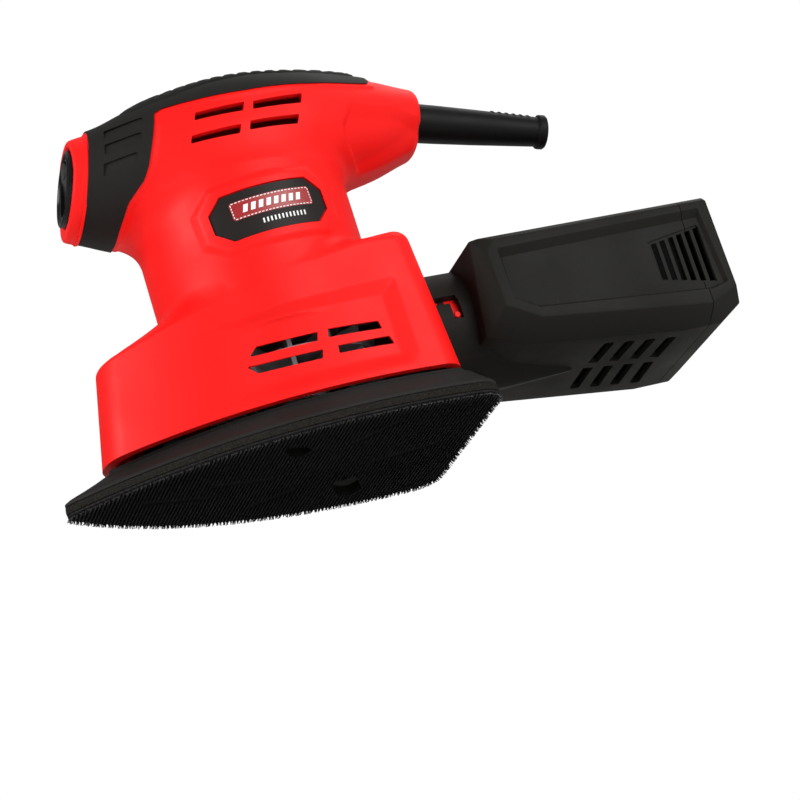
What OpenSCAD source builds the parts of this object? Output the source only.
// Detail mouse sander with an iron-shaped pad, an upright motor, a palm grip and a twist-off dust box.
// Millimetres. +Z is up, the nose points to -X and the dust box to +X.
// The origin lies on the motor axis, on the sanding face (the tips of the hooks, z = 0).

/* [Pad and platen] */
// Distance from the motor axis forward to the tip of the pad
pad_nose = 84; // [80:1:88]
// Distance from the motor axis back to the rear edge of the pad
pad_rear = 53; // [51:0.5:56]
// Half of the pad's greatest width
pad_half = 45; // [43:0.5:47]
// Thickness of the hook sheet, tips included
hook_t = 1.8; // [1.4:0.1:2.2]
// Thickness of the foam backing
foam_t = 2.6; // [2:0.1:3]
// Height of the platen above the foam
platen_t = 7.4; // [6.5:0.1:7.6]

/* [Housing] */
// Height of the skirt's lower edge above the sanding face
skirt_z = 14.5; // [14:0.1:15.5]
// Half of the skirt's greatest width
skirt_half = 39.2; // [38:0.1:41]
// Height of the skirt's shoulder crease on the motor axis
crease_z = 57.6; // [56:0.1:59]
// Radius of the upright neck round the motor
neck_r = 36.3; // [35.5:0.1:37.5]
// Wall thickness of the housing
wall = 2.5; // [2:0.1:2.8]
// How far the soft grip stands proud of the housing
grip_t = 0.9; // [0.6:0.1:1.2]

/* [Drive] */
// Eccentricity of the platen, half of the orbit's diameter
eccentric = 0.8; // [0.5:0.1:1]
// Radius of the cooling and dust fan
fan_r = 31; // [28:0.5:31.5]
// Radius of the motor shaft
shaft_r = 4; // [3.5:0.25:4.5]
// Outer radius of the stator stack
stator_r = 30; // [28:0.5:31]
// Height of the stator stack
stator_h = 30; // [26:1:32]

/* [Dust box] */
// Height of the outlet's axis above the sanding face
outlet_z = 37; // [36:0.1:38]
// Outer radius of the outlet spigot
spigot_r = 18.5; // [17.5:0.1:19]
// Wall thickness of the box's collar
collar_wall = 2.9; // [2.4:0.1:3.2]
// Half of the box's width
box_half = 34; // [32:0.5:36]
// Distance from the motor axis to the front face of the box
box_front = 62; // [60:0.5:64]
// Distance from the motor axis to the rear face of the box
box_rear = 148.5; // [140:0.5:150]
// Turn of the bayonet between locked and free, in degrees
bayonet_turn = 15; // [12:1:18]

/* [Hidden] */

RED = [0.86, 0.10, 0.09];
BLACK = [0.13, 0.13, 0.12];
DARK = [0.09, 0.09, 0.09];
STEEL = [0.62, 0.63, 0.65];
DARK_STEEL = [0.38, 0.39, 0.41];
COPPER = [0.72, 0.38, 0.18];
BRASS = [0.78, 0.62, 0.28];
GREY = [0.52, 0.53, 0.54];

tiny = 0.01;
gap = 0.3;
round_fn = 64;
ring_count = 28;
arc_steps = 12;

// Heights up the machine
foam_z = hook_t;
platen_z = foam_z + foam_t;
platen_top = platen_z + platen_t;
pin_low = 9.5;
bearing_low = 9.7;
bearing_w = 8;
hub_low = 19.3;
hub_high = 27;
bracket_z = 41.5;
bracket_t = 3;
lower_bearing_h = 7;
stator_z = 54;
stator_top = stator_z + stator_h;
yoke_z = stator_top + 7;
yoke_t = 2.4;
brush_z = yoke_z + yoke_t + 3.4;
commutator_low = yoke_z - 0.6;
commutator_high = commutator_low + 12;
upper_bearing_z = 107;
upper_bearing_h = 6;
sleeve_r = 11.4;
outlet_low = 37;
rim_h = 1.5;
shaft_low = hub_low + 1;
shaft_high = upper_bearing_z + upper_bearing_h + 0.5;

// ---------------------------------------------------------------- outlines

// Half width of an iron outline is a long arc that meets a small nose arc and a rear corner arc.
// tip and rear are X positions, nose is the nose radius, half the half width, corner the corner radius.
side_x = 23;

function side_radius(tip, nose, half) =
    (pow(side_x - (tip + nose), 2) / (half - nose) + nose + half) / 2;

function arc(cx, cy, r, a0, a1, steps) =
    [for (i = [0 : steps]) let (a = a0 + (a1 - a0) * i / steps) [cx + r * cos(a), cy + r * sin(a)]];

// Points from the nose round the -Y side to the middle of the rear edge.
function half_outline(tip, nose, half, rear, corner) =
    let (
        big = side_radius(tip, nose, half),
        centre_y = big - half,
        nose_x = tip + nose,
        nose_a = atan2(-centre_y, nose_x - side_x),
        corner_x = rear - corner,
        corner_y = -(sqrt(pow(big - corner, 2) - pow(corner_x - side_x, 2)) - centre_y),
        corner_a = atan2(corner_y - centre_y, corner_x - side_x)
    )
    concat(
        arc(nose_x, 0, nose, 180, nose_a + 360, 4),
        arc(side_x, centre_y, big, nose_a + 360, corner_a + 360, arc_steps),
        arc(corner_x, corner_y, corner, corner_a, 0, 4)
    );

function mirrored(points) =
    [for (i = [len(points) - 1 : -1 : 1]) [points[i][0], -points[i][1]]];

function iron(tip, nose, half, rear, corner) =
    let (p = dedupe(half_outline(tip, nose, half, rear, corner))) concat(p, mirrored(p));

function dedupe(p) =
    [for (i = [0 : len(p) - 1]) if (i == 0 || norm(p[i] - p[i - 1]) > 0.05) p[i]];

pad_outline = iron(-pad_nose, 4, pad_half, pad_rear, 10);
platen_top_outline = iron(-pad_nose + 14.5, 6, pad_half - 5.5, pad_rear - 4.5, 9);

// ---------------------------------------------------------------- lofts

module loft(rings) {
    n = len(rings[0]);
    m = len(rings);
    sides = [
        for (i = [0 : m - 2]) for (j = [0 : n - 1])
        let (a = i * n + j, b = i * n + (j + 1) % n, c = a + n, d = b + n)
        each [[a, d, b], [a, c, d]]
    ];
    low = [for (j = [0 : n - 1]) j];
    high = [for (j = [n - 1 : -1 : 0]) (m - 1) * n + j];
    polyhedron([for (r = rings) each r], concat(sides, [low], [high]));
}

function at_height(outline, z, slope = 0) = [for (p = outline) [p[0], p[1], z + slope * p[0]]];

// Barrel sections: [centre x, centre z, lean in degrees, half height, half width, roundness]
barrel_sections = [
    [-49.8, 112.0, 15.5, 17.8, 18.4, 2.0],
    [-38.0, 111.8, 14.0, 21.1, 24.0, 2.1],
    [-24.0, 112.6, 12.0, 22.8, 29.5, 2.2],
    [-8.0, 113.9, 10.0, 22.9, 33.0, 2.3],
    [8.0, 114.8, 8.0, 21.9, 33.5, 2.4],
    [22.0, 115.1, 7.0, 21.1, 31.0, 2.4],
    [34.0, 115.7, 7.0, 20.5, 26.5, 2.3],
    [45.0, 116.3, 8.0, 18.9, 21.5, 2.2],
    [58.0, 116.9, 11.0, 15.2, 16.5, 2.1],
    [68.0, 116.8, 13.5, 11.8, 12.3, 2.0],
    [70.3, 116.4, 13.5, 8.8, 9.3, 2.0],
];

function signed_power(v, e) = sign(v) * pow(abs(v), e);

function section_ring(s, grow) =
    [for (j = [0 : ring_count - 1])
        let (
            a = (j + 0.5) * 360 / ring_count,
            up = (s[3] + grow) * signed_power(sin(a), 2 / s[5]),
            side = (s[4] + grow) * signed_power(cos(a), 2 / s[5])
        )
        [s[0] + up * sin(s[2]), side, s[1] + up * cos(s[2])]];

module barrel(grow = 0, first = 0, last = 10) {
    loft([for (i = [first : last]) section_ring(barrel_sections[i], grow)]);
}

// The barrel's skin at one offset, run out past the front so that it cuts cleanly
module barrel_core(grow) {
    front = barrel_sections[0];
    before = [front[0] - 5, front[1] + 1.4, front[2], front[3] - 1, front[4] - 1, 2];
    loft(concat([section_ring(before, grow)], [for (i = [0 : 10]) section_ring(barrel_sections[i], grow)]));
}

// The barrel's cavity stops short of the rear face so that a rear wall is left.
module barrel_cavity() {
    front = barrel_sections[0];
    rear = barrel_sections[9];
    loft(concat(
        [section_ring([front[0] - 4, front[1] + 1.1, front[2], front[3] - 1.1, front[4] - 1.6, 2], -wall)],
        [for (i = [1 : 8]) section_ring(barrel_sections[i], -wall)],
        [section_ring([rear[0] - 0.6, rear[1], rear[2], rear[3], rear[4], 2], -wall)]
    ));
}

function crease_outline(inset) = iron(-60 + inset * 1.4, 14 - inset, skirt_half - 1.7 - inset, 43.2 - inset, 8 - inset);
function skirt_outline(inset) = iron(-68.4 + inset * 1.2, 15 - inset, skirt_half - inset, 46 - inset, 8 - inset);
function neck_ring(outline, r) =
    [for (p = outline) let (a = atan2(p[1], p[0])) [r * cos(a), r * sin(a)]];

crease_slope = 0.16;

module skirt(inset = 0, drop = 0) {
    crease = crease_outline(inset);
    loft([
        at_height(skirt_outline(inset), skirt_z - drop),
        at_height(skirt_outline(inset), skirt_z + 6),
        at_height(crease, crease_z - inset, crease_slope),
        at_height(neck_ring(crease, neck_r - 0.9 - inset), crease_z + 6.6 - inset, 0.08),
    ]);
}

module neck(inset = 0) {
    rotate_extrude($fn = round_fn)
        polygon([[0, 50], [neck_r - inset, 50], [neck_r - inset, 90], [neck_r - 5 - inset, 108], [0, 108]]);
}

module y_prism(outline, y0, y1) {
    translate([0, y1, 0]) rotate([90, 0, 0]) linear_extrude(height = y1 - y0) polygon(outline);
}

module along_y(x, z, y0, y1, r) {
    translate([x, y0, z]) rotate([-90, 0, 0]) cylinder(h = y1 - y0, r = r, $fn = 24);
}

module along_x(y, z, x0, x1, r) {
    translate([x0, y, z]) rotate([0, 90, 0]) cylinder(h = x1 - x0, r = r, $fn = round_fn);
}

// ---------------------------------------------------------------- housing

// Screws across the two halves: [x, z]
screw_places = [[-46, 37], [-27, 126], [38, 127.5], [47, 106]];
// How far each boss reaches sideways from the joint to its wall
screw_reach = [19, 18, 17, 11];
// Rubber post places: [x, y]
post_places = [[-47, -9.6], [-47, 9.6], [32, -27], [32, 27]];
bracket_screw_angles = [22.5, 157.5, 202.5, 337.5];
bracket_screw_ring = 31;

// Rows of cooling slots, as outlines in the XZ plane
upper_vents = [
    [[-16.1, 115.0], [0.2, 114.8], [1.6, 118.2], [-14.9, 117.9]],
    [[3.5, 114.8], [21.1, 115.6], [22.4, 119.3], [4.5, 117.9]],
    [[-19.4, 107.1], [-3.4, 106.6], [-2.0, 109.9], [-18.4, 109.8]],
    [[0.0, 107.2], [17.5, 108.1], [19.1, 111.5], [1.2, 110.5]],
];
lower_vents = [
    [[-21.0, 31.8], [0.8, 31.3], [1.7, 34.3], [-17.8, 34.8]],
    [[4.3, 31.6], [22.2, 30.8], [21.6, 33.7], [4.9, 34.5]],
    [[-19.8, 25.7], [0.7, 25.1], [1.6, 28.1], [-22.8, 28.8]],
    [[6.2, 25.5], [24.6, 25.0], [23.6, 27.9], [6.4, 28.2]],
];

plate_centre = [-1.5, 78.6];
function octagon(grow) =
    let (w = 19.2 + grow, h = 8 + grow, c = 4.6 + 0.4 * grow)
    [for (p = [[-w, -h + c], [-w + c, -h], [w - c, -h], [w, -h + c], [w, h - c], [w - c, h], [-w + c, h], [-w, h - c]])
        [plate_centre[0] + p[0] * cos(3.5) - p[1] * sin(3.5), plate_centre[1] + p[0] * sin(3.5) + p[1] * cos(3.5)]];

module neck_shell(r0, r1, z0, z1) {
    difference() {
        translate([0, 0, z0]) cylinder(h = z1 - z0, r = r1, $fn = round_fn);
        translate([0, 0, z0 - 1]) cylinder(h = z1 - z0 + 2, r = r0, $fn = round_fn);
    }
}

// Raised frame round a plate, on the side given by s
module plate_frame(s) {
    intersection() {
        neck_shell(neck_r - 0.5, neck_r + 1.1, 60, 98);
        difference() {
            y_prism(octagon(4), min(s * 20, s * 50), max(s * 20, s * 50));
            y_prism(octagon(0.15), min(s * 19, s * 51), max(s * 19, s * 51));
        }
    }
}

module plate(s) {
    intersection() {
        neck_shell(neck_r + 0.02, neck_r + 0.6, 60, 98);
        y_prism(octagon(0), min(s * 20, s * 50), max(s * 20, s * 50));
    }
}

module housing_shape() {
    difference() {
        union() {
            barrel();
            neck();
            skirt();
        }
        barrel_cavity();
        neck(wall);
        skirt(wall, 4);
        along_x(0, outlet_z, 30, 60, spigot_r + 0.1);
        for (v = concat(upper_vents, lower_vents)) {
            y_prism(v, -60, -22);
            y_prism(v, 22, 60);
        }
        guard_frame() translate([0, 0, -16]) cylinder(h = 24, r = 7.2, $fn = 32);
    }
}

// Sockets that hang over the tops of the rubber posts, each tied to the side wall by a rib
module post_socket(p, s) {
    difference() {
        union() {
            translate([p[0], p[1], 27]) cylinder(h = 8, r = 7, $fn = 32);
            translate([p[0] - 1, p[1] + min(0, s * 9.6), 28]) cube([2, p[0] > 0 ? 9.6 : 6, 6]);
        }
        translate([p[0], p[1], 26]) cylinder(h = 8, r = 5.4, $fn = 32);
    }
}

// Ribs that hold the stator, the brush yoke and the bearing bracket
module motor_ribs(s) {
    low = bracket_z + bracket_t;
    for (a = [s * 40, s * 140]) rotate([0, 0, a])
        translate([stator_r + 0.05, -1.5, stator_z + 1]) cube([neck_r - stator_r - 1, 3, yoke_z - stator_z - 1.05]);
    for (a = bracket_screw_angles) if (sin(a) * s > 0) rotate([0, 0, a]) {
        translate([bracket_screw_ring, 0, low]) cylinder(h = stator_z - low - 0.2, r = 3.8, $fn = 32);
        translate([bracket_screw_ring, -1.2, low + 0.3]) cube([24, 2.4, stator_z - low - 1]);
    }
}

// The outer form drawn in by a little, which keeps what is inside from showing through the skin
module inner_bounds() {
    barrel(-0.8);
    neck(0.8);
    skirt(0.8, 2);
}

// Cross wall that carries the upper bearing in its rubber sleeve
module bearing_rib(s) {
    translate([-7, min(0, s * 31.5), upper_bearing_z]) cube([14, 31.5, 7]);
}

module housing_inner(s) {
    for (i = [0 : len(screw_places) - 1])
        along_y(screw_places[i][0], screw_places[i][1], min(0, s * screw_reach[i]), max(0, s * screw_reach[i]), 3.6);
    for (p = post_places) if (p[1] * s > 0) post_socket(p, s);
    motor_ribs(s);
    bearing_rib(s);
}

clamp_x = 54;
clamp_y = 3.6;
clamp_heights = [110, 125];

// The left half's two cord clamp bosses reach across the joint.
module clamp_bosses() {
    for (z = clamp_heights) along_y(clamp_x, z, -15, clamp_y - 0.05, 3);
}

module half_space(s) {
    translate([-120, s > 0 ? 0 : -80, 0]) cube([240, 80, 160]);
}

module housing_half(s) {
    difference() {
        union() {
            intersection() {
                union() {
                    housing_shape();
                    plate_frame(s);
                    intersection() {
                        difference() {
                            housing_inner(s);
                            along_x(0, outlet_z, outlet_low - 0.4, 60, spigot_r + 2);
                        }
                        inner_bounds();
                    }
                }
                half_space(s);
            }
            if (s < 0) clamp_bosses();
        }
        translate([0, 0, upper_bearing_z - 2]) cylinder(h = 12, r = sleeve_r + 0.02, $fn = round_fn);
        for (a = bracket_screw_angles) rotate([0, 0, a])
            translate([bracket_screw_ring, 0, bracket_z]) cylinder(h = 9.2, r = 1.52, $fn = 24);
        for (z = clamp_heights) along_y(clamp_x, z, -6, 8, 1.32);
        for (i = [0 : len(screw_places) - 1]) {
            x = screw_places[i][0];
            z = screw_places[i][1];
            along_y(x, z, s > 0 ? -1 : -11, s > 0 ? 60 : 1, s > 0 ? 1.9 : 1.3);
            if (s > 0) along_y(x, z, 9, 60, 3.4);
        }
    }
}

module housing_left() {
    color(RED) housing_half(-1);
}

module housing_right() {
    color(RED) housing_half(1);
}

module name_plate() {
    color(BLACK) plate(-1);
}

module rating_plate() {
    color(BLACK) plate(1);
}

module housing_screws() {
    color(DARK_STEEL) for (p = screw_places) {
        along_y(p[0], p[1], -10, 9, 1.25);
        along_y(p[0], p[1], 9, 11.4, 3.1);
    }
}

// Side view of the soft grip: front band and the strip along the top
grip_region = [
    [-38, 150], [-60, 92], [-56, 84], [-46, 84], [-46, 89], [-37, 98], [-34.4, 102],
    [-26, 119], [-23.5, 123], [2, 124.6], [27, 124.5], [57, 128.6], [60, 150],
];

module grip_overmold() {
    color(BLACK) intersection() {
        difference() {
            barrel(grip_t, 0, 8);
            barrel_core(tiny);
        }
        y_prism(grip_region, -40, 40);
    }
}

module grip_pad() {
    pad_view = [[-34, -16], [50, -13], [50, 13], [-34, 16]];
    color(DARK) intersection() {
        difference() {
            barrel(grip_t + 0.9, 1, 8);
            barrel_core(grip_t + tiny);
        }
        translate([0, 0, 118]) linear_extrude(height = 40) polygon(pad_view);
    }
}

// ---------------------------------------------------------------- switch in the nose of the grip

switch_centre = [-55, 0, 112.4];
switch_lean = 15.6;
rocker_tilt = 6;
module switch_frame() {
    translate(switch_centre) rotate([0, switch_lean - 90, 0]) children();
}

module front_ring() {
    color(RED) switch_frame() rotate_extrude($fn = round_fn)
        polygon([[14.7, 1], [15.9, 0.9], [17.2, -1.2], [18.55, -4.95], [15.9, -4.95], [14.7, -2.5]]);
}

module stadium(w, h, length) {
    linear_extrude(height = length) union() {
        square([h - w, w], center = true);
        for (s = [-1, 1]) translate([s * (h - w) / 2, 0]) circle(d = w, $fn = 32);
    }
}

module switch_bezel() {
    color(DARK) switch_frame() difference() {
        union() {
            translate([0, 0, -2]) cylinder(h = 2.6, r = 14.65, $fn = round_fn);
            translate([0, 0, -9]) cylinder(h = 7, r = 13, $fn = round_fn);
        }
        translate([0, 0, -7]) stadium(13, 22.6, 9);
        translate([0, 0, -10]) cylinder(h = 4, r = 10.5, $fn = 32);
    }
}

// The rocker is drawn in its off position, with the lower end pressed in.
module rocker_frame() {
    switch_frame() translate([0, 0, -3.6]) rotate([0, -rocker_tilt, 0]) translate([0, 0, 3.6]) children();
}

module switch_rocker() {
    color(BLACK) rocker_frame() difference() {
        union() {
            translate([0, 0, -5.2]) stadium(12, 21.4, 4.4);
            translate([6, 0, -0.9]) cylinder(h = 1.2, r = 3.6, $fn = 32);
        }
        translate([0, -8, -3.6]) rotate([-90, 0, 0]) cylinder(h = 16, r = 1.04, $fn = 24);
    }
}

module rocker_pin() {
    color(STEEL) switch_frame() translate([0, -7.4, -3.6]) rotate([-90, 0, 0]) cylinder(h = 14.8, r = 1, $fn = 24);
}

module switch_body() {
    color(BLACK) switch_frame() {
        translate([-9.5, -6.5, -24]) cube([19, 13, 15]);
        for (s = [-1, 1]) translate([s * 5 - 0.4, -3, -31]) cube([0.8, 6, 7.2]);
    }
}

// ---------------------------------------------------------------- cord entry

guard_start = [71.3, 0, 116.6];
guard_droop = 13.6;
guard_len = 46.5;
module guard_frame() {
    translate(guard_start) rotate([0, 90 + guard_droop, 0]) children();
}

module cord_guard() {
    color(BLACK) guard_frame() difference() {
        rotate_extrude($fn = 48) polygon([
            [0, -8], [9, -8], [9, -5.4], [6.9, -5.4], [6.9, -1], [6.7, 0],
            [5.2, guard_len - 4], [5.9, guard_len - 3.4], [5.9, guard_len], [0, guard_len],
        ]);
        translate([0, 0, -9]) cylinder(h = guard_len + 10, r = 3.4, $fn = 48);
    }
}

module cord_clamp() {
    color(BLACK) difference() {
        translate([clamp_x - 3, clamp_y, clamp_heights[0] - 3]) cube([6, 3, clamp_heights[1] - clamp_heights[0] + 6]);
        for (z = clamp_heights) along_y(clamp_x, z, clamp_y - 1, clamp_y + 4, 1.6);
    }
}

module cord_clamp_screws() {
    color(DARK_STEEL) for (z = clamp_heights) {
        along_y(clamp_x, z, -5, clamp_y + 3.1, 1.3);
        along_y(clamp_x, z, clamp_y + 3, clamp_y + 4.8, 2.8);
    }
}

module capacitor() {
    color(GREY) {
        translate([31, -5, 111]) cube([13, 10, 12]);
        for (y = [-3, 3]) translate([37.5, y, 106]) cylinder(h = 5, r = 0.4, $fn = 16);
    }
}

// ---------------------------------------------------------------- motor, fixed parts

module sector(r0, r1, z0, z1, a0, a1) {
    rotate([0, 0, a0]) translate([0, 0, z0]) rotate_extrude(angle = a1 - a0, $fn = 96)
        translate([r0, 0]) square([r1 - r0, z1 - z0]);
}

module tube(r0, r1, z0, z1) {
    difference() {
        translate([0, 0, z0]) cylinder(h = z1 - z0, r = r1, $fn = round_fn);
        translate([0, 0, z0 - 1]) cylinder(h = z1 - z0 + 2, r = r0, $fn = round_fn);
    }
}

coil_angles = [40, 62];
module stator_core() {
    color(STEEL) difference() {
        tube(17.9, stator_r, stator_z, stator_top);
        for (m = [0, 180]) for (s = [-1, 1])
            sector(17, 25.4, stator_z - 1, stator_top + 1,
                m + (s > 0 ? coil_angles[0] - 1 : -coil_angles[1] - 1),
                m + (s > 0 ? coil_angles[1] + 1 : -coil_angles[0] + 1));
        for (a = [90, 270]) rotate([0, 0, a]) translate([stator_r - 2.6, 0, stator_z - 1])
            cylinder(h = stator_h + 2, r = 1.6, $fn = 24);
    }
}

module field_coils() {
    color(COPPER) for (m = [0, 180]) {
        for (s = [-1, 1])
            sector(19.6, 24.8, stator_z - 3, stator_top + 3,
                m + (s > 0 ? coil_angles[0] : -coil_angles[1]), m + (s > 0 ? coil_angles[1] : -coil_angles[0]));
        sector(19.6, 26, stator_top + 0.4, stator_top + 5.4, m - coil_angles[1], m + coil_angles[1]);
        sector(19.6, 26, stator_z - 5.4, stator_z - 0.4, m - coil_angles[1], m + coil_angles[1]);
    }
}

module brush_yoke() {
    color(BLACK) difference() {
        tube(14.5, 31, yoke_z, yoke_z + yoke_t);
        for (a = [45 : 90 : 315]) rotate([0, 0, a]) translate([23, 0, yoke_z - 1]) cylinder(h = 5, r = 4, $fn = 32);
    }
}

module both_brushes() {
    for (m = [0, 1]) mirror([0, m, 0]) children();
}

module brush_holders() {
    color(BRASS) both_brushes() difference() {
        translate([-4.2, 13.2, yoke_z + yoke_t]) cube([8.4, 14.8, 6.8]);
        translate([-3.3, 12, brush_z - 2.6]) cube([6.6, 18, 5.2]);
    }
}

module carbon_brushes() {
    color(DARK) both_brushes() translate([-3.15, 11.85, brush_z - 2.45]) cube([6.3, 9.5, 4.9]);
}

module brush_springs() {
    color(STEEL) both_brushes() along_y(0, brush_z, 21.4, 27.6, 1.9);
}

module ball_bearing(bore, outer, z0, h) {
    difference() {
        translate([0, 0, z0]) cylinder(h = h, r = outer, $fn = round_fn);
        translate([0, 0, z0 - 1]) cylinder(h = h + 2, r = bore, $fn = round_fn);
        for (z = [z0 - tiny, z0 + h - 0.4]) translate([0, 0, z]) difference() {
            cylinder(h = 0.4 + tiny, r = outer - 1.6, $fn = round_fn);
            translate([0, 0, -1]) cylinder(h = 3, r = bore + 1.4, $fn = round_fn);
        }
    }
}

module upper_bearing() {
    color(STEEL) ball_bearing(shaft_r - 0.5 + 0.03, 9.5, upper_bearing_z, upper_bearing_h);
}

module bearing_sleeve() {
    color(DARK) difference() {
        translate([0, 0, upper_bearing_z - 0.8]) cylinder(h = upper_bearing_h + 2.8, r = sleeve_r, $fn = round_fn);
        translate([0, 0, upper_bearing_z]) cylinder(h = upper_bearing_h + 0.5 + 0.4, r = 9.5, $fn = round_fn);
        translate([0, 0, upper_bearing_z - 2]) cylinder(h = 4, r = 7.5, $fn = round_fn);
    }
}

module lower_bearing() {
    color(STEEL) ball_bearing(shaft_r + 0.03, 11, bracket_z + 0.8, lower_bearing_h);
}

module bearing_bracket() {
    color(GREY) difference() {
        union() {
            translate([0, 0, bracket_z]) cylinder(h = bracket_t, r = 25, $fn = round_fn);
            translate([0, 0, bracket_z]) cylinder(h = lower_bearing_h + 0.8, r = 13.6, $fn = round_fn);
            for (a = bracket_screw_angles) rotate([0, 0, a]) {
                translate([20, -4.4, bracket_z]) cube([bracket_screw_ring - 20, 8.8, bracket_t]);
                translate([bracket_screw_ring, 0, bracket_z]) cylinder(h = bracket_t, r = 4.4, $fn = 32);
            }
        }
        translate([0, 0, bracket_z + 0.8]) cylinder(h = 20, r = 11, $fn = round_fn);
        translate([0, 0, bracket_z - 1]) cylinder(h = 5, r = 8, $fn = round_fn);
        for (a = [0 : 45 : 315]) rotate([0, 0, a]) translate([18.6, 0, bracket_z - 1]) cylinder(h = 6, r = 3.9, $fn = 32);
        for (a = bracket_screw_angles) rotate([0, 0, a]) translate([bracket_screw_ring, 0, bracket_z - 1])
            cylinder(h = 6, r = 1.8, $fn = 24);
    }
}

module bracket_screws() {
    color(DARK_STEEL) for (a = bracket_screw_angles) rotate([0, 0, a]) translate([bracket_screw_ring, 0, 0]) {
        translate([0, 0, bracket_z - 2]) cylinder(h = 2, r = 2.9, $fn = 24);
        translate([0, 0, bracket_z - 2 + tiny]) cylinder(h = 9, r = 1.5, $fn = 24);
    }
}

// ---------------------------------------------------------------- rotor

module motor_shaft() {
    color(STEEL) {
        translate([0, 0, shaft_low]) cylinder(h = upper_bearing_z - shaft_low, r = shaft_r, $fn = round_fn);
        translate([0, 0, upper_bearing_z - tiny]) cylinder(h = shaft_high - upper_bearing_z, r = shaft_r - 0.5, $fn = round_fn);
    }
}

module armature_core() {
    color(DARK_STEEL) difference() {
        tube(shaft_r, 17.2, stator_z + 2, stator_top - 2);
        for (a = [0 : 30 : 330]) rotate([0, 0, a]) translate([13.4, 0, stator_z])
            cylinder(h = stator_h + 2, r = 2.1, $fn = 24);
        for (a = [0 : 30 : 330]) rotate([0, 0, a]) translate([14, -0.7, stator_z]) cube([5, 1.4, stator_h]);
    }
}

module armature_winding() {
    color(COPPER) {
        for (a = [0 : 30 : 330]) rotate([0, 0, a]) translate([13.4, 0, stator_z - 1])
            cylinder(h = stator_h + 2, r = 2, $fn = 24);
        tube(shaft_r + 2, 15.6, stator_z - 3.4, stator_z + 1.8);
        tube(shaft_r + 2, 15.6, stator_top - 1.8, stator_top + 4);
    }
}

module commutator() {
    color(COPPER) difference() {
        tube(shaft_r, 11.5, commutator_low, commutator_high);
        for (a = [0 : 15 : 345]) rotate([0, 0, a]) translate([10.8, -0.25, commutator_low - 1])
            cube([2, 0.5, commutator_high - commutator_low + 2]);
    }
}

fan_disc_z = 31;
fan_low = 22;
fan_high = 38.6;
module fan() {
    color(GREY) difference() {
        union() {
            translate([0, 0, fan_disc_z]) cylinder(h = 1.8, r = fan_r, $fn = round_fn);
            translate([0, 0, hub_high + 0.6]) cylinder(h = fan_high - hub_high - 0.6, r = 9, $fn = round_fn);
            for (i = [0 : 13]) rotate([0, 0, i * 360 / 14]) {
                translate([17.6, -0.7, fan_low]) cube([fan_r - 18.2, 1.4, fan_disc_z - fan_low + 0.5]);
                translate([12, -0.7, fan_disc_z + 1.5]) cube([fan_r - 12.6, 1.4, fan_high - fan_disc_z - 1.5]);
            }
        }
        translate([0, 0, 20]) cylinder(h = 30, r = shaft_r, $fn = round_fn);
    }
}

module counterweight() {
    color(DARK_STEEL) difference() {
        union() {
            sector(0, 16.9, 21.4, 26.8, 90, 270);
            translate([0, 0, 21.4]) cylinder(h = 5.4, r = 12.6, $fn = round_fn);
        }
        translate([0, 0, 20]) cylinder(h = 8, r = 8.4, $fn = round_fn);
    }
}

module eccentric_hub() {
    color(STEEL) difference() {
        union() {
            translate([eccentric, 0, pin_low]) cylinder(h = hub_low - pin_low + 1, r = 4.97, $fn = round_fn);
            translate([0, 0, hub_low]) cylinder(h = hub_high - hub_low, r = 8.4, $fn = round_fn);
        }
        translate([0, 0, shaft_low]) cylinder(h = 12, r = shaft_r, $fn = round_fn);
        translate([eccentric, 0, pin_low - 1]) cylinder(h = 9, r = 2.1, $fn = 32);
    }
}

module platen_screw() {
    color(DARK_STEEL) translate([eccentric, 0, 0]) {
        translate([0, 0, pin_low - 4]) cylinder(h = 3, r = 4.4, $fn = 32);
        translate([0, 0, pin_low - 1 - tiny]) cylinder(h = 8.4, r = 2.1, $fn = 32);
    }
}

module platen_washer() {
    color(STEEL) translate([eccentric, 0, 0]) tube(2.2, 6.4, pin_low - 1, pin_low);
}

// ---------------------------------------------------------------- platen and pad

module platen_bearing() {
    color(STEEL) translate([eccentric, 0, 0]) ball_bearing(5, 13, bearing_low, bearing_w);
}

hole_places = [[-12, -22], [16, 24]];
module dust_holes(z0, z1, r) {
    for (p = hole_places) translate([p[0], p[1], z0]) rotate([0, 0, 60]) cylinder(h = z1 - z0, r = r, $fn = 6);
}

// The platen orbits on the eccentric, so its pieces are drawn about the eccentric's axis.
module on_platen() {
    translate([eccentric, 0, 0]) children();
}

// A low rim on the platen closes most of the gap under the skirt.
module platen_rim() {
    difference() {
        translate([0, 0, platen_top - 0.6]) linear_extrude(height = rim_h + 0.6) difference() {
            polygon(iron(-pad_nose + 16.5, 5, pad_half - 7.5, pad_rear - 6.5, 8));
            polygon(iron(-pad_nose + 19, 4.5, pad_half - 9.5, pad_rear - 8.5, 7));
        }
        for (p = post_places) translate([p[0], p[1], platen_top - 1]) cylinder(h = 5, r = 6.5, $fn = 32);
    }
}

module platen() {
    color(BLACK) on_platen() difference() {
        union() {
            loft([
                at_height(pad_outline, platen_z),
                at_height(pad_outline, platen_z + 0.8),
                at_height(platen_top_outline, platen_top),
            ]);
            translate([0, 0, platen_top - 1]) cylinder(h = 7.4, r = 16.4, $fn = round_fn);
            platen_rim();
        }
        translate([0, 0, bearing_low]) cylinder(h = 20, r = 13, $fn = round_fn);
        translate([0, 0, platen_z - 1]) cylinder(h = 8, r = 8.6, $fn = round_fn);
        for (p = hole_places) translate([p[0], p[1], platen_z - 1]) cylinder(h = platen_t + 3, r = 4.6, $fn = 32);
        for (p = post_places) translate([p[0], p[1], platen_z - 1]) cylinder(h = platen_t + 3, r = 1.9, $fn = 24);
        for (p = post_places) translate([p[0], p[1], platen_z - 1]) cylinder(h = 4, r = 3.6, $fn = 24);
    }
}

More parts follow.
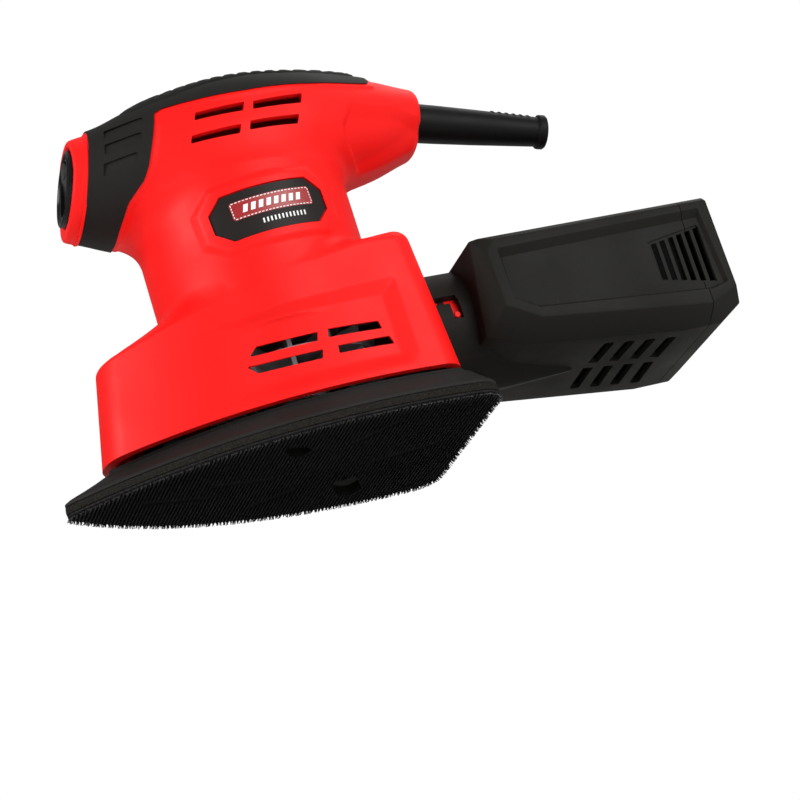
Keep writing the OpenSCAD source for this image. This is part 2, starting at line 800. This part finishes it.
module rubber_posts() {
    color(DARK) on_platen() for (p = post_places) translate([p[0], p[1], 0]) difference() {
        union() {
            translate([0, 0, platen_top]) cylinder(h = 1.6, r = 6.2, $fn = 32);
            translate([0, 0, platen_top]) cylinder(h = 20.6, r = 4, $fn = 32);
        }
        translate([0, 0, platen_top - 1]) cylinder(h = 9, r = 1.5, $fn = 24);
    }
}

module post_screws() {
    color(DARK_STEEL) on_platen() for (p = post_places) translate([p[0], p[1], 0]) {
        translate([0, 0, platen_z + 1]) cylinder(h = 2, r = 3.2, $fn = 24);
        translate([0, 0, platen_z + 3 - tiny]) cylinder(h = 12, r = 1.5, $fn = 24);
    }
}

module foam_pad() {
    color(DARK) on_platen() difference() {
        translate([0, 0, foam_z]) linear_extrude(height = foam_t) polygon(pad_outline);
        dust_holes(foam_z - 1, foam_z + foam_t + 1, 5);
    }
}

module hook_sheet() {
    color(BLACK) on_platen() difference() {
        linear_extrude(height = hook_t) polygon(pad_outline);
        dust_holes(-1, hook_t + 1, 5);
    }
}

// ---------------------------------------------------------------- dust outlet and box

pin_x = 55;
module dust_outlet() {
    color(RED) {
        difference() {
            union() {
                along_x(0, outlet_z, outlet_low, 60, spigot_r);
                along_x(0, outlet_z, outlet_low, outlet_low + 2.4, spigot_r + 1.6);
                for (s = [-1, 1]) along_y(pin_x, outlet_z, s > 0 ? 17 : -20.6, s > 0 ? 20.6 : -17, 1.2);
            }
            along_x(0, outlet_z, 30, 70, spigot_r - 2.5);
            translate([50.5, 0, outlet_z]) rotate([0, 90, 0]) tube(spigot_r - 1.4, spigot_r + 2, 0, 2.2);
        }
    }
}

module outlet_seal() {
    color(DARK) translate([50.6, 0, outlet_z]) rotate([0, 90, 0]) tube(spigot_r - 1.4, spigot_r + 0.06, 0, 2);
}

collar_bore = spigot_r + 0.08;
collar_r = spigot_r + collar_wall;
collar_front = 46.9;
cap_x = 138;
box_top = 57.6;
box_bottom = 15;

// Side view of the box, as given by its greatest outline; inset shrinks it evenly enough for a wall.
function box_side(i) = [
    [box_front + i, 27 + i * 0.6], [72 + i * 0.5, 20.4 + i], [129, box_bottom + i], [box_rear - 5.5, box_bottom + i],
    [box_rear - i, 20 + i * 0.6], [box_rear - i, box_top - i], [box_front + 6, box_top - i], [box_front + i, box_top - 1 - i],
];

// Cross-section of the box, seen along X
function box_section(i) =
    let (w = box_half - i, t = box_top - i)
    [
        [-w + 8.5, box_bottom - 2 + i], [w - 8.5, box_bottom - 2 + i], [w, box_bottom + 7 + i * 0.5], [w, t - 3], [w - 4, t],
        [-w + 4, t], [-w, t - 3], [-w, box_bottom + 7 + i * 0.5],
    ];

// Plan view: the front corners are bevelled
function box_plan(i) =
    let (w = box_half - i)
    [[box_front + i, -w + 4], [box_front + 4.4 + i, -w], [box_rear - i, -w], [box_rear - i, w], [box_front + 4.4 + i, w], [box_front + i, w - 4]];

module box_solid(i = 0) {
    intersection() {
        y_prism(box_side(i), -60, 60);
        rotate([90, 0, 90]) linear_extrude(height = 200) polygon(box_section(i));
        linear_extrude(height = 100) polygon(box_plan(i));
    }
}

// A swelling carries the round collar into the flat underside.
module collar_swell(i = 0) {
    hull() {
        along_x(0, outlet_z, box_front, box_front + 0.5, collar_r - i);
        translate([96 - 3 * i, -1, box_bottom + 3 + i]) cube([0.5, 2, 8]);
    }
}

louvre_x = [124.2, 127.4, 130.6, 133.8];
louvre = [[0, 31.5], [1.5, 31.5], [0.4, 46], [-1.1, 46]];
module louvres(s) {
    for (x = louvre_x) translate([x, s > 0 ? 20 : -50, 0]) y_prism(louvre, 0, 30);
}

module slots_below() {
    for (i = [0 : 3]) for (s = [-1, 1])
        translate([102.5 + i * 8, s > 0 ? 3.4 : -20, 0]) cube([3.9, 16.6, 24]);
}

module bayonet_slots() {
    for (s = [0, 180]) translate([0, 0, outlet_z]) rotate([s, 0, 0]) {
        rotate([-bayonet_turn, 0, 0]) translate([collar_front - 1, -30, -1.5]) cube([pin_x - collar_front + 2.5, 15, 3]);
        rotate([0, 90, 0]) sector(14, 31, pin_x - 1.5, pin_x + 1.3, -90 - bayonet_turn, -85.7);
    }
}

module box_shell() {
    color(BLACK) difference() {
        union() {
            intersection() {
                box_solid();
                translate([0, -60, 0]) cube([cap_x, 120, 100]);
            }
            along_x(0, outlet_z, collar_front, box_front + 2, collar_r);
            collar_swell();
        }
        box_solid(2);
        intersection() {
            collar_swell(2.2);
            translate([0, -60, 0]) cube([cap_x, 120, 100]);
        }
        along_x(0, outlet_z, collar_front - 5, box_front + 4, collar_bore);
        bayonet_slots();
        louvres(-1);
        louvres(1);
        slots_below();
    }
}

module box_end_cap() {
    color(BLACK) difference() {
        union() {
            intersection() {
                box_solid();
                translate([cap_x + 0.1, -60, 0]) cube([40, 120, 100]);
            }
            intersection() {
                box_solid(2.4);
                translate([cap_x - 5, -60, 0]) cube([8, 120, 100]);
            }
        }
        intersection() {
            box_solid(4.2);
            translate([0, -60, 0]) cube([200, 120, 100]);
        }
    }
}

module dust_filter() {
    color(DARK) intersection() {
        difference() {
            box_solid(2.5);
            box_solid(4);
        }
        translate([98, -60, 0]) cube([cap_x - 6 - 98, 120, 48]);
    }
}

housing_left();
housing_right();
grip_overmold();
grip_pad();
front_ring();
name_plate();
rating_plate();
housing_screws();
switch_bezel();
switch_body();
switch_rocker();
rocker_pin();
cord_guard();
cord_clamp();
cord_clamp_screws();
capacitor();
stator_core();
field_coils();
brush_yoke();
brush_holders();
carbon_brushes();
brush_springs();
upper_bearing();
bearing_sleeve();
lower_bearing();
bearing_bracket();
bracket_screws();
dust_outlet();
outlet_seal();
motor_shaft();
armature_core();
armature_winding();
commutator();
fan();
counterweight();
eccentric_hub();
platen_screw();
platen_washer();
platen_bearing();
platen();
rubber_posts();
post_screws();
foam_pad();
hook_sheet();
box_shell();
box_end_cap();
dust_filter();
